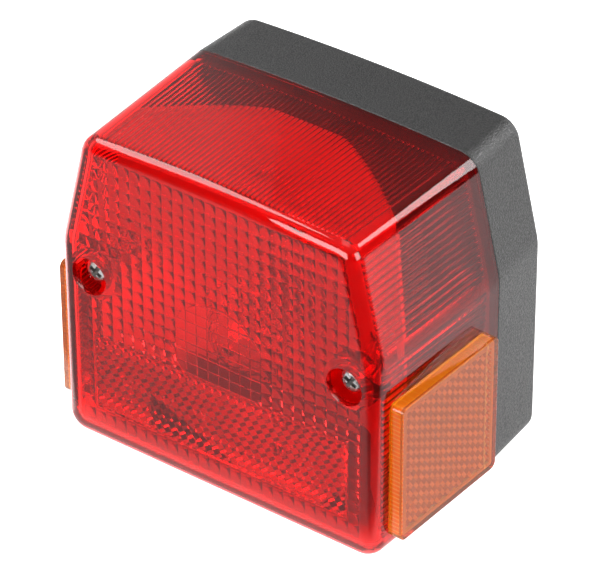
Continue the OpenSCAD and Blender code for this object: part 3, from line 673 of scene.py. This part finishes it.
def pillow_field(name, low, high, columns, rows, rise, per=8, power=2):
    """Field of crowned cells between two corners (x, z); a high power makes them flat on top."""
    u = np.linspace(0, columns, columns * per + 1)
    v = np.linspace(0, rows, rows * per + 1)
    crown = lambda t: 1 - np.abs(2 * (t % 1) - 1) ** power
    heights = rise * (0.55 * crown(u)[:, None] + 0.45 * crown(v)[None, :])
    xs = low[0] + (high[0] - low[0]) * u / columns
    zs = low[1] + (high[1] - low[1]) * v / rows
    return height_field(name, xs, zs, heights, face_in, relief_root)


# The relief inside the front starts this deep in the front wall, and its parts stand apart.
relief_root, relief_gap = 0.8, 0.6
pillow_w, pillow_h = 3.5, 3.78
eye_r, eye_half, eye_low, eye_cell_h = 15.4, 14.0, -16.3, 3.4
reflex_w, reflex_h, reflex_base = 82.0, 23.4, 11.3
prism_w = 2.73
panel_low, panel_high = bottom + reflex_base, bottom + reflex_base + reflex_h
field_columns = 26
field_half = field_columns * pillow_w / 2
field_rows = 23
field_low = bottom + 6.3
pillows = pillow_field(
    "pillows", (-field_half, field_low), (field_half, field_low + field_rows * pillow_h),
    field_columns, field_rows, 0.6
)
combine(pillows, "INTERSECT", [core("pillow_limit", face_in + 2, face_in - 2, 5.2, lens_low)])
eye_hole = rod("eye_hole", 2 * eye_r, face_in + 3, face_in - 3, sides=128)
combine(eye_hole, "INTERSECT", [
    block("eye_hole_sides", (-eye_half, face_in - 4, -20), (eye_half, face_in + 4, 20))
])
combine(pillows, "DIFFERENCE", [
    eye_hole,
    block(
        "panel_hole", (-reflex_w / 2 - relief_gap, face_in - 3, panel_low - relief_gap),
        (reflex_w / 2 + relief_gap, face_in + 3, panel_high + relief_gap)
    ),
    *[rod("boss_hole", boss_d, face_in + 3, face_in - 3, x, screw_up) for x in (-screw_x, screw_x)],
])
eye = pillow_field(
    "eye", (-5 * pillow_w, eye_low), (5 * pillow_w, eye_low + 10 * eye_cell_h), 10, 10, 0.3, 20, 20
)
combine(eye, "INTERSECT", [
    rod("eye_limit", 2 * eye_r - 0.3, face_in + 2, face_in - 2, sides=128),
    block("eye_sides", (0.1 - eye_half, face_in - 2, -20), (eye_half - 0.1, face_in + 2, 20)),
])
combine(eye, "DIFFERENCE", [
    block("panel_hole", (-reflex_w, face_in - 3, bottom), (reflex_w, face_in + 3, panel_high + relief_gap))
])


def cube_corners(name, w, low, high, y, depth):
    """Closed slab under a field of cube corners, w across their flats, which stand towards +Y."""
    side, rise, row = w / math.sqrt(3), w / math.sqrt(6), w * math.sqrt(0.75)
    places = {}
    points = []

    def point(x, z, height):
        key = (round(x, 3), round(z, 3))
        if key not in places:
            places[key] = len(points)
            points.append((x, y + height * rise, z))
        return places[key]

    faces = []
    for n in range(int((high[1] - low[1]) / row) + 3):
        for m in range(int((high[0] - low[0]) / w) + 3):
            cx, cz = low[0] + (m - 0.5 * (n % 2) - 0.5) * w, low[1] + (n - 0.8) * row
            apex = point(cx, cz, 2)
            ring = []
            for a in range(30, 390, 60):
                turn = math.radians(a)
                ring.append(point(cx + side * math.cos(turn), cz + side * math.sin(turn), (a // 60) % 2))
            faces += [(apex, ring[k], ring[(k + 1) % 6], ring[(k + 2) % 6]) for k in (1, 3, 5)]
    count = len(points)
    edges = {}
    for face in faces:
        for k in range(4):
            edges[(face[k], face[(k + 1) % 4])] = True
    top = list(faces)
    faces += [tuple(count + i for i in reversed(face)) for face in top]
    faces += [(b, a, count + a, count + b) for a, b in edges if (b, a) not in edges]
    points += [(x, y - depth, z) for x, _, z in points]
    return turned_outwards(add_mesh(name, points, faces))


prisms = cube_corners(
    "prisms", prism_w, (-reflex_w / 2, panel_low), (reflex_w / 2, panel_high), face_in, relief_root
)
combine(prisms, "INTERSECT", [
    block("panel_limit", (-reflex_w / 2, face_in - 0.6, panel_low), (reflex_w / 2, face_in + 4, panel_high))
])
bosses = []
for x in (-screw_x, screw_x):
    bosses.append(rod("boss", boss_d, face_y + counterbore_depth + lens_wall, face_y + 1.2, x, screw_up, 96))
    bosses.append(rod("column", column_d, tower_top, face_y + counterbore_depth, x, screw_up))
boss_pair = bosses[0]
combine(boss_pair, "UNION", bosses[1:])
boss_limit = core("boss_limit", tower_top + 1, joint_y - 1, side_wall)
combine(boss_limit, "UNION", [lofted("boss_limit_front", [
    (joint_y - 0.5, outline(half_w(joint_y), lens_low, 1.0)),
    (face_y + 0.8, outline(half_w(face_y), lens_low, 1.0)),
])])
combine(boss_pair, "INTERSECT", [boss_limit])
combine(lens, "UNION", [tongue, pillows, eye, prisms, boss_pair])
combine(lens, "DIFFERENCE", [
    part for x in (-screw_x, screw_x) for part in (
        rod("counterbore", counterbore_d, face_y + counterbore_depth, face_y - 1, x, screw_up, 96),
        rod("clearance", shank_d + 0.5, tower_top + 1, face_y, x, screw_up, 48),
    )
])
red_plastic, _ = material(
    "red_plastic", Base_Color=(1.0, 0.014, 0.014, 1), Roughness=0.02, IOR=1.49, Transmission_Weight=0.96
)
# Painted light: the rounds along its foot and its left side get a copy of the red plastic that passes less
# light and scatters more, so that they glow brighter; the moulding is one plastic.
red_round_painted_glow, _ = material(
    "red_round_painted_glow", Base_Color=(1.0, 0.03, 0.03, 1), Roughness=0.08, IOR=1.49, Transmission_Weight=0.55
)
# Rounds that face down at the foot, and left near the front, take the painted glow.
for face in lens.data.polygons:
    low_round = face.normal.z < -0.3 and face.center.z < (lens_low + face_round) * MM
    left_round = face.normal.x < -0.4 and face.normal.y < -0.05 and face.center.y < (face_y + face_round) * MM
    face.material_index = 1 if low_round or left_round else 0
finished(lens, (red_plastic, red_round_painted_glow), "red_lens", "lens", sharp=28)

# Side reflectors
# Clear amber mouldings, glued to the flat sides of the lens: a plain outer face, and prism
# pins on the inner side of it that send light straight back.
side_l, side_h, side_t, side_setback, side_base = 41.6, 43.3, 4.2, 5.5, 7.1
side_skin, side_corner_r, cell_l, cell_h, glue = 1.3, 2.0, 2.36, 2.73, 0.1
side_turn = math.atan((rim_w - face_w) / 2 / lens_d)


def rounded_rectangle(w, h, r, steps=6):
    """Points round a rectangle with rounded corners, about its middle."""
    points = []
    for across, up, start in ((1, 1, 0), (-1, 1, 90), (-1, -1, 180), (1, -1, 270)):
        for a in np.radians(np.linspace(start, start + 90, steps + 1)):
            points.append((across * (w / 2 - r) + r * math.cos(a), up * (h / 2 - r) + r * math.sin(a)))
    return np.array(points)


def plate(name, layers):
    """Closed stack of rounded rectangles: (distance out of the wall, along, up, radius) each."""
    loops = [np.column_stack([np.full(28, x), rounded_rectangle(w, h, r)]) for x, w, h, r in layers]
    count = len(loops[0])
    faces = [tuple(range(count))[::-1], tuple(range((len(loops) - 1) * count, len(loops) * count))]
    for s in range(len(loops) - 1):
        for i in range(count):
            j = (i + 1) % count
            faces.append((s * count + i, s * count + j, (s + 1) * count + j, (s + 1) * count + i))
    return add_mesh(name, np.concatenate(loops), faces)


edge = 0.35
amber = plate("amber", [
    (0, side_l, side_h, side_corner_r),
    (side_t - edge, side_l, side_h, side_corner_r),
    (side_t - 0.1, side_l - 0.2, side_h - 0.2, side_corner_r - 0.1),
    (side_t, side_l - 2 * edge, side_h - 2 * edge, side_corner_r - edge),
    (side_t, side_l - 2 * edge - 0.1, side_h - 2 * edge - 0.1, side_corner_r - edge - 0.05),
])
combine(amber, "DIFFERENCE", [plate("amber_hollow", [
    (-1, side_l - 2 * side_skin, side_h - 2 * side_skin, 0.7),
    (side_t - side_skin, side_l - 2 * side_skin, side_h - 2 * side_skin, 0.7),
])])
pin_margin, pin_root = 1.3, 0.05
field_l, field_h = side_l - 2 * (side_skin + pin_margin), side_h - 2 * (side_skin + pin_margin)
pins = cube_corners("pins", cell_h, (-field_h / 2, -field_l / 2), (field_h / 2, field_l / 2), 0, 0.5)
combine(pins, "INTERSECT", [
    block("pin_limit", (-field_h / 2, -0.4, -field_l / 2), (field_h / 2, 3, field_l / 2))
])
pins.data.transform(Matrix.Translation(((side_t - side_skin - pin_root) * MM, 0, 0)) @ Matrix((
    (0, -1, 0, 0), (0, 0, -1, 0), (1, 0, 0, 0), (0, 0, 0, 1)
)))
combine(amber, "UNION", [pins])
amber_plastic, _ = material(
    "amber_plastic", Base_Color=(1.0, 0.33, 0.03, 1), Roughness=0.02, IOR=1.49, Transmission_Weight=0.95
)
# Painted light: the light its prisms send back is painted on as a partly diffuse orange, brown on facets that
# face down and bright on those that face up, with painted glints along each cell's borders and along the rear
# rows.
amber_painted_prisms, pins_shader = material("amber_painted_prisms", Roughness=0.15, IOR=1.49, Transmission_Weight=0.1)
pins_tree = amber_painted_prisms.node_tree
pins_normal = place_axes(pins_tree.nodes.new("ShaderNodeNewGeometry").outputs["True Normal"])
pins_place = place_axes(object_place(pins_tree))


def painted_border_glint(source, middle, pitch, start):
    """Painted glint: bright towards the borders of the cells along one axis."""
    cells = shade_math("FRACT", shade_math("DIVIDE", shade_math("SUBTRACT", source, middle * MM), pitch * MM))
    return shade_range(shade_math("ABSOLUTE", shade_math("SUBTRACT", cells, 0.5)), start, 0.48)


amber_y = face_y + side_setback + side_l / 2 * math.cos(side_turn)
amber_z = bottom + side_base + side_h / 2
upright_glints = painted_border_glint(pins_place["Y"], amber_y, cell_l, 0.32)
level_glints = painted_border_glint(pins_place["Z"], amber_z, cell_h / 2, 0.3)
from_rear_row = shade_math("SUBTRACT", pins_place["Y"], (amber_y + field_l / 2 - 1.6) * MM)
rear_row_glints = shade_range(shade_math("ABSOLUTE", from_rear_row), 0.0018, 0.0012)
on_prisms = shade_range(shade_math("ABSOLUTE", pins_normal["X"]), 0.2, 0.4)
faces_up = shade_range(pins_normal["Z"], -0.35, 0.35)
# Painted light and shade on the prism facets: bright orange where they face up, brown where they face down.
prism_painted_shading = shade_mix(faces_up, (0.34, 0.12, 0.05), (1.0, 0.55, 0.17))
prism_painted_light = shade_mix(shade_math("MULTIPLY", upright_glints, rear_row_glints), prism_painted_shading, (1.0, 0.95, 0.4))
rim_glint_lines = shade_math("MAXIMUM", upright_glints, level_glints)
# The rim walls keep the amber's own orange, with painted glints along the cell lines.
rim_painted_glints = shade_mix(rim_glint_lines, (1.0, 0.45, 0.02), (1.0, 0.95, 0.3))
feed(pins_shader.inputs["Base Color"], shade_mix(on_prisms, rim_painted_glints, prism_painted_light))
inner_l, inner_h = (side_l / 2 - side_skin + 0.01) * MM, (side_h / 2 - side_skin + 0.01) * MM
# Faces in the hollow, the prisms and the rim walls, take the painted prism light.
for face in amber.data.polygons:
    inside = 0.05 * MM < face.center.x < (side_t - side_skin + 0.01) * MM
    in_hollow = abs(face.center.y) < inner_l and abs(face.center.z) < inner_h
    face.material_index = 1 if inside and in_hollow else 0
amber_front = face_y + side_setback
amber_place = Matrix.Translation((
    (half_w(amber_front) + glue / math.cos(side_turn)) * MM, amber_front * MM, (bottom + side_base) * MM
)) @ Matrix.Rotation(-side_turn, 4, "Z") @ Matrix.Translation((0, side_l / 2 * MM, side_h / 2 * MM))
for name, side in (("right_side_reflector", 1), ("left_side_reflector", -1)):
    piece = bpy.data.objects.new(name.replace("reflector", "amber"), amber.data.copy())
    bpy.context.scene.collection.objects.link(piece)
    piece.data.transform(amber_place)
    if side < 0:
        piece.data.transform(Matrix.Scale(-1, 4, (1, 0, 0)))
        piece.data.flip_normals()
    finished(piece, (amber_plastic, amber_painted_prisms), "amber_lens", name, sharp=25)
bpy.data.objects.remove(amber)

# Screws and studs
# Zinc plated: two long pan head screws through the lens, two short ones in the sheet, and
# two studs with a hexagon head and a shoulder that stand out of the back.
screw_head_d, screw_head_h, sheet_screw_d, sheet_screw_l, bite = 7.2, 2.46, 3.0, 8.0, 11.0
# A thread is a square wire round a bar; both are shares of the thread's diameter.
thread_root, thread_wire = 0.42, 0.078
stud_l, stud_pitch = 16.0, 0.8
wear_group, wear_in, wear_out = effect_group(
    "surface_wear", (("Mask", "NodeSocketFloat"), ("Normal", "NodeSocketVector")),
    Scale=900.0, Stretch=1.0, Contrast=0.2, Height=0.00002
)
wear_x, wear_y, wear_z = place_axes(object_place(wear_group))
wear_place = made_node(
    wear_group, "ShaderNodeCombineXYZ", X=shade_math("DIVIDE", wear_x, wear_in["Stretch"]), Y=wear_y, Z=wear_z
)
wear_noise = made_node(
    wear_group, "ShaderNodeTexNoise", Vector=wear_place.outputs[0], Scale=wear_in["Scale"], Detail=4.0
)
wear_start = shade_math("SUBTRACT", 0.5, wear_in["Contrast"])
wear_mask = shade_range(wear_noise.outputs["Fac"], wear_start, shade_math("ADD", 0.5, wear_in["Contrast"]))
wear_bump = made_node(wear_group, "ShaderNodeBump", Height=wear_mask, Distance=wear_in["Height"])
feed(wear_out["Mask"], wear_mask)
feed(wear_out["Normal"], wear_bump.outputs["Normal"])


def worn(name, clean, dull, rough, metallic, **wear):
    """Material between two colours and two roughnesses, mixed by the wear mask."""
    paint, shader = material(name, Metallic=metallic)
    wear = place_group(paint, wear_group, **wear)
    feed(shader.inputs["Base Color"], shade_mix(wear["Mask"], clean, dull))
    feed(shader.inputs["Roughness"], shade_range(wear["Mask"], 0.0, 1.0, *rough))
    feed(shader.inputs["Normal"], wear["Normal"])
    return paint


def helix_tree():
    """A wire that runs round the Z axis as a thread or a spring does, with its sizes as inputs."""
    tree = bpy.data.node_groups.new("helix", "GeometryNodeTree")
    identifiers = {}
    for label, kind in (
        ("Radius", "NodeSocketFloat"), ("Length", "NodeSocketFloat"), ("Turns", "NodeSocketFloat"),
        ("Wire", "NodeSocketFloat"), ("Sides", "NodeSocketInt"), ("Material", "NodeSocketMaterial"),
    ):
        identifiers[label] = tree.interface.new_socket(label, in_out="INPUT", socket_type=kind).identifier
    tree.interface.new_socket("Geometry", in_out="OUTPUT", socket_type="NodeSocketGeometry")
    given = tree.nodes.new("NodeGroupInput").outputs
    spiral = made_node(
        tree, "GeometryNodeCurveSpiral", Resolution=24, Rotations=given["Turns"],
        Start_Radius=given["Radius"], End_Radius=given["Radius"], Height=given["Length"]
    )
    section = made_node(
        tree, "GeometryNodeCurvePrimitiveCircle", Resolution=given["Sides"], Radius=given["Wire"]
    )
    swept = made_node(
        tree, "GeometryNodeCurveToMesh", Curve=spiral.outputs[0], Profile_Curve=section.outputs[0],
        Fill_Caps=True
    )
    real = made_node(tree, "GeometryNodeRealizeInstances", Geometry=swept.outputs[0])
    painted = made_node(
        tree, "GeometryNodeSetMaterial", Geometry=real.outputs[0], Material=given["Material"]
    )
    feed(tree.nodes.new("NodeGroupOutput").inputs["Geometry"], painted.outputs[0])
    return tree, identifiers


helix_group, helix_inputs = helix_tree()


def helix(name, rear, front, radius, pitch, wire, sides, paint, x=0.0, z=0.0):
    """Plain mesh of one thread or spring along Y, from the helix tree."""
    made = bpy.data.objects.new(name, bpy.data.meshes.new(name))
    bpy.context.scene.collection.objects.link(made)
    modifier = made.modifiers.new("helix", "NODES")
    modifier.node_group = helix_group
    length = rear - front - 2 * wire
    for label, value in (
        ("Radius", radius * MM), ("Length", length * MM), ("Turns", length / pitch),
        ("Wire", wire * MM), ("Sides", sides), ("Material", paint),
    ):
        modifier[helix_inputs[label]] = value
    made.update_tag()
    graph = bpy.context.evaluated_depsgraph_get()
    mesh = bpy.data.meshes.new_from_object(made.evaluated_get(graph))
    made.modifiers.clear()
    made.data = mesh
    lying = Matrix.Rotation(math.pi / 2, 4, "X")
    mesh.transform(Matrix.Translation((x * MM, (rear - wire) * MM, z * MM)) @ lying)
    return made


def joined(name, pieces):
    """One object of several closed meshes."""
    work = bmesh.new()
    for piece in pieces:
        work.from_mesh(piece.data)
        bpy.data.objects.remove(piece)
    mesh = bpy.data.meshes.new(name)
    work.to_mesh(mesh)
    work.free()
    made = bpy.data.objects.new(name, mesh)
    bpy.context.scene.collection.objects.link(made)
    return made


def turned(name, profile, x=0.0, z=0.0, sides=48):
    """Closed solid of revolution about Y, from (radius, y) points that start and end on the axis."""
    angles = np.arange(sides) * 2 * math.pi / sides
    rings = profile[1:-1]
    points = [(x, profile[0][1], z), (x, profile[-1][1], z)]
    for r, y in rings:
        points += [(x + r * math.sin(a), y, z + r * math.cos(a)) for a in angles]
    at = lambda ring, i: 2 + ring * sides + i % sides
    faces = []
    for i in range(sides):
        faces += [(0, at(0, i + 1), at(0, i)), (1, at(len(rings) - 1, i), at(len(rings) - 1, i + 1))]
        faces += [(at(s, i), at(s, i + 1), at(s + 1, i + 1), at(s + 1, i)) for s in range(len(rings) - 1)]
    return turned_outwards(add_mesh(name, points, faces))


def cross_screw(name, seat, head, height, shank, length, x, z, paint):
    """Pan head screw along Y with a cross recess; its head stands towards -Y from the seat."""
    profile = [
        (head * out, seat - height * up)
        for out, up in (
            (0, 1), (0.2, 0.99), (0.32, 0.93), (0.42, 0.8), (0.48, 0.55), (0.5, 0.3), (0.49, 0), (0, 0)
        )
    ]
    top = turned(name + "_head", profile, x, z)
    cutters = []
    for turn in (30, 120):
        wide, narrow, deep = head * 0.34, head * 0.09, height * 0.62
        arm = wedge("arm", [
            (sx * w, seat - height + y, sz * n)
            for y, w, n in ((-0.5, wide + 0.1, narrow + 0.03), (deep, head * 0.12, narrow * 0.8))
            for sx, sz in ((-1, -1), (1, -1), (1, 1), (-1, 1))
        ])
        arm.data.transform(Matrix.Rotation(math.radians(turn), 4, "Y"))
        arm.data.transform(Matrix.Translation((x * MM, 0, z * MM)))
        cutters.append(turned_outwards(arm))
    combine(top, "DIFFERENCE", cutters)
    # Faces sunk in the cross recess get the dark recess colour: painted shade.
    for face in top.data.polygons:
        out = math.hypot(face.center.x / MM - x, face.center.z / MM - z)
        surface = np.interp(out, [r for r, y in profile[:-2]], [y for r, y in profile[:-2]])
        face.material_index = 1 if out < head * 0.4 and face.center.y / MM > surface + 0.12 else 0
    bar_r = shank * thread_root
    bar = turned(name + "_bar", [
        (0, seat - 0.2), (bar_r, seat - 0.2), (bar_r, seat + length - shank * 0.8),
        (shank * 0.18, seat + length), (0, seat + length)
    ], x, z, 32)
    coil = helix(
        name + "_thread", seat + length - shank * 0.6, seat + 1.0, bar_r, shank * 0.32,
        shank * thread_wire, 4, paint, x, z
    )
    return [top, bar, coil]


zinc = worn("zinc", (0.8, 0.81, 0.83), (0.62, 0.6, 0.55), (0.16, 0.36), 1.0, Scale=700.0, Contrast=0.18)
# Dark colour for the screws' cross recesses, with a little random tone: painted shade where the recess lies
# in shadow.
recess_painted_shade = worn("recess_painted_shade", (0.05, 0.048, 0.045), (0.16, 0.15, 0.14), (0.45, 0.7), 0.6, Scale=1500.0)
long_screws, short_screws = [], []
for x in (-screw_x, screw_x):
    long_screws += cross_screw(
        "long_screw", face_y + counterbore_depth, screw_head_d, screw_head_h, shank_d,
        tower_top + bite - face_y - counterbore_depth, x, screw_up, zinc
    )
for z in (-post_z, post_z):
    short_screws += cross_screw(
        "short_screw", -sheet_y, 1.87 * sheet_screw_d, 0.67 * sheet_screw_d, sheet_screw_d,
        sheet_t + sheet_screw_l, 0, z, zinc
    )
screw_coats = zinc, recess_painted_shade
finished(joined("lens_screw_pair", long_screws), screw_coats, "plated_steel", "lens_screws", sharp=35)
finished(joined("sheet_screw_pair", short_screws), screw_coats, "plated_steel", "sheet_screws", sharp=35)
studs = []
stud_r = stud_d * thread_root
for x in (-stud_x, stud_x):
    studs += [
        rod("stud_head", stud_flats / flats_share, -back_wall, -back_wall - stud_head_h, x, 0, 6),
        rod("stud_shoulder", 1.24 * stud_d, fit_gap, -back_wall - 0.1, x, 0),
        turned("stud_bar", [
            (0, 0.1), (stud_r, 0.1), (stud_r, stud_l - 0.4), (stud_d * 0.36, stud_l), (0, stud_l)
        ], x, 0),
        helix(
            "stud_thread", stud_l - 0.2, 0.5, stud_r, stud_pitch, stud_d * thread_wire, 4, zinc, x, 0
        ),
    ]
finished(joined("stud_pair", studs), zinc, "plated_steel", "mounting_studs", sharp=35)

# Bulb, holder, seal and grommet
# Stamped brass contacts, plated holder shell, brown laminate discs, coil springs, black
# rubber and a clear glass bulb; apart from the springs these keep their modelled shapes.
steel = worn("spring_steel", (0.6, 0.61, 0.63), (0.4, 0.39, 0.38), (0.2, 0.4), 1.0, Scale=900.0)
brass = worn("brass", (0.78, 0.58, 0.28), (0.5, 0.33, 0.14), (0.2, 0.42), 1.0, Scale=400.0)
lead = worn("solder", (0.55, 0.55, 0.56), (0.36, 0.36, 0.37), (0.35, 0.6), 1.0, Scale=1200.0)
board = worn("board", (0.2, 0.09, 0.04), (0.1, 0.045, 0.02), (0.45, 0.7), 0.0, Scale=1500.0, Stretch=6.0)
rubber = worn(
    "rubber", (0.016, 0.016, 0.016), (0.05, 0.05, 0.048), (0.6, 0.85), 0.0, Scale=500.0, Height=0.00004
)
plated = worn("plated", (0.74, 0.75, 0.77), (0.55, 0.53, 0.48), (0.2, 0.42), 1.0, Scale=500.0)
clear_glass, glass_shader = material("clear_glass", Base_Color=(1, 1, 1, 1), IOR=1.5, Transmission_Weight=1.0)
glass_tree = clear_glass.node_tree
glass_flow = made_node(
    glass_tree, "ShaderNodeTexNoise", Vector=object_place(glass_tree), Scale=90, Detail=2.0
)
feed(glass_shader.inputs["Roughness"], shade_range(glass_flow.outputs["Fac"], 0.0, 1.0, 0.0, 0.03))
spring_points = np.array([vertex.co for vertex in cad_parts["contact_springs"].data.vertices]) / MM
spring_low, spring_high = spring_points.min(0), spring_points.max(0)
spring_r, spring_wire, spring_turns = 1.4, 0.3, 4.5
spring_pitch = (spring_high[1] - spring_low[1] - 2 * spring_wire) / spring_turns
coils = [
    helix("spring", spring_high[1], spring_low[1], spring_r, spring_pitch, spring_wire, 8, steel, x)
    for x in (spring_low[0] + spring_r + spring_wire, spring_high[0] - spring_r - spring_wire)
]
finished(joined("spring_pair", coils), steel, "plated_steel", "contact_springs", sharp=60)
for paint, names in (
    (plated, ("holder_shell",)),
    (lead, ("bulb_contacts", "bulb_filaments")),
    (brass, (
        "holder_rivets", "contact_plungers", "tail_terminal", "stop_terminal", "earth_terminal", "bulb_cap"
    )),
    (board, ("contact_disc", "holder_end_plate")),
    (rubber, ("lens_seal", "cable_grommet")),
    (clear_glass, ("bulb_glass",)),
):
    for name in names:
        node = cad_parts[name]
        node.data.materials.clear()
        node.data.materials.append(paint)
